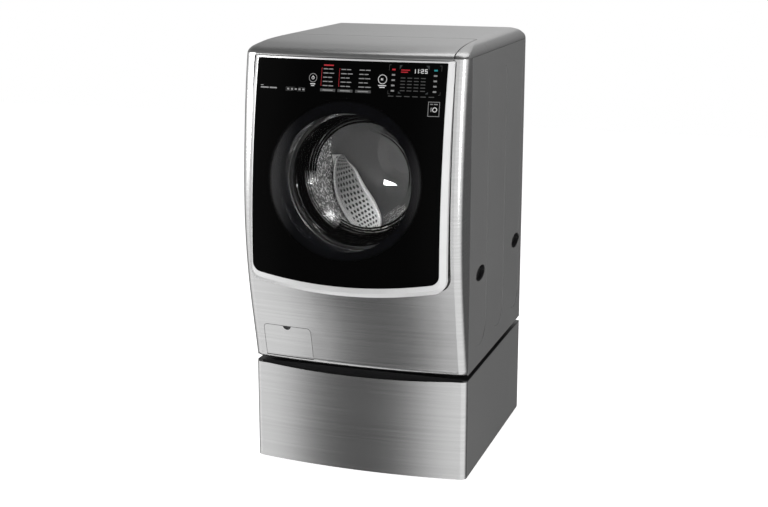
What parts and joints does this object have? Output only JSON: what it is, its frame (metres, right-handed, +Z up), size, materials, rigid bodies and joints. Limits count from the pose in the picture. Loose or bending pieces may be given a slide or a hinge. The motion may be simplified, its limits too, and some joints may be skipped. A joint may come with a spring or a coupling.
{
  "type": "front load washing machine",
  "caption": "Front-load washer with a full-face black glass door on a drawer pedestal; door, lid, drum, tub, service flap and drawer move.",
  "frame": {"origin": "on the floor under the middle of the machine's bounding box", "axes": "+Z up, the front with the door faces -Y, +X to the right of someone facing the front"},
  "size_m": [0.7, 0.8559, 1.3552],
  "materials": {
    "brushed_stainless": "brushed",
    "satin_paint": "satin",
    "silver_plastic": "satin metallic",
    "door_silver": "satin",
    "black_glass": "gloss black",
    "clear_glass": "clear",
    "zinc_steel": "galvanised",
    "bright_steel": "machined",
    "drum_stainless": "polished",
    "lifter_plastic": "satin",
    "cast_aluminium": "as cast",
    "tub_plastic": "moulded",
    "white_plastic": "moulded",
    "grey_plastic": "moulded",
    "black_plastic": "moulded",
    "grey_rubber": "matt",
    "foot_rubber": "matt",
    "concrete": "cast",
    "copper_winding": "enamelled",
    "circuit_board": "lacquered"
  },
  "bodies": {
    "cabinet": {"pedestal_cabinet": "satin_paint", "pedestal_feet": "foot_rubber", "pedestal_deck": "satin_paint", "drawer_slide_rails": "zinc_steel", "cabinet_side_right": "satin_paint", "cabinet_side_left": "satin_paint", "grip_cups": "black_plastic", "cabinet_rear_panel": "zinc_steel", "rear_access_cover": "zinc_steel", "cabinet_base_pan": "zinc_steel", "washer_feet": "foot_rubber", "front_panel": "brushed_stainless", "front_bulkhead": "zinc_steel", "top_cross_brace": "zinc_steel", "top_cover": "silver_plastic", "lid_hinge_pin": "bright_steel", "dispenser_housing": "white_plastic", "dispenser_tray": "white_plastic", "water_inlet_valve": "white_plastic", "power_inlet": "black_plastic", "drain_outlet": "black_plastic", "door_lock": "black_plastic", "door_hinge_bracket": "bright_steel", "door_gasket": "grey_rubber", "service_frame": "black_plastic", "drain_pump": "white_plastic", "sump_hose": "grey_rubber", "suspension_springs": "bright_steel", "damper_bodies": "black_plastic"},
    "tub": {"damper_rods": "bright_steel", "tub_front": "tub_plastic", "tub_rear": "tub_plastic", "counterweights": "concrete", "bearings": "bright_steel", "stator": "copper_winding", "heater": "bright_steel"},
    "drum": {"drum_shell": "drum_stainless", "drum_front_ring": "drum_stainless", "drum_back": "drum_stainless", "drum_lifters": "lifter_plastic", "drum_spider": "cast_aluminium", "drum_shaft": "bright_steel", "rotor": "zinc_steel", "rotor_bolt": "bright_steel"},
    "door": {"door_frame": "door_silver", "door_glass": "black_glass", "door_window_bowl": "clear_glass", "door_inner_cover": "grey_plastic", "door_window_ring": "black_plastic", "door_display_board": "circuit_board", "door_latch_hook": "bright_steel", "door_hinge_leaf": "bright_steel", "door_hinge_pins": "bright_steel"},
    "lid": {"dispenser_lid": "silver_plastic"},
    "service_flap": {"service_door": "brushed_stainless"},
    "filter": {"pump_filter": "grey_plastic"},
    "drawer": {"drawer_front": "brushed_stainless", "drawer_front_liner": "black_plastic", "drawer_box": "grey_plastic", "drawer_slide_runners": "zinc_steel"}
  },
  "joints": [
    {"name": "door_swing", "type": "hinge", "parent": "cabinet", "child": "door", "pos_m": [-0.306, -0.381, 0.784], "axis": [0, 0, -1], "range_deg": [0, 100]},
    {"name": "lid_lift", "type": "hinge", "parent": "cabinet", "child": "lid", "pos_m": [0, -0.071, 1.35], "axis": [-1, 0, 0], "range_deg": [0, 70]},
    {"name": "service_flap_drop", "type": "hinge", "parent": "cabinet", "child": "service_flap", "pos_m": [-0.305, -0.2886, 0.365], "axis": [0.9952, -0.0977, 0], "range_deg": [0, 90]},
    {"name": "filter_turn", "type": "hinge", "parent": "cabinet", "child": "filter", "pos_m": [-0.225, -0.262, 0.408], "axis": [0, -1, 0], "range_deg": [0, 90]},
    {"name": "drawer_slide", "type": "slide", "parent": "cabinet", "child": "drawer", "axis": [0, -1, 0], "range_m": [0, 0.44]},
    {"name": "tub_float", "type": "slide", "parent": "cabinet", "child": "tub", "axis": [0, 0, 1], "range_m": [-0.006, 0.006], "stiffness_N_per_m": 60000, "springref_m": 0.0075, "deforming": ["suspension_springs", "sump_hose"]},
    {"name": "drum_spin", "type": "hinge", "parent": "tub", "child": "drum", "pos_m": [0, 0, 0.94], "axis": [0, 1, 0], "continuous": true}
  ]
}
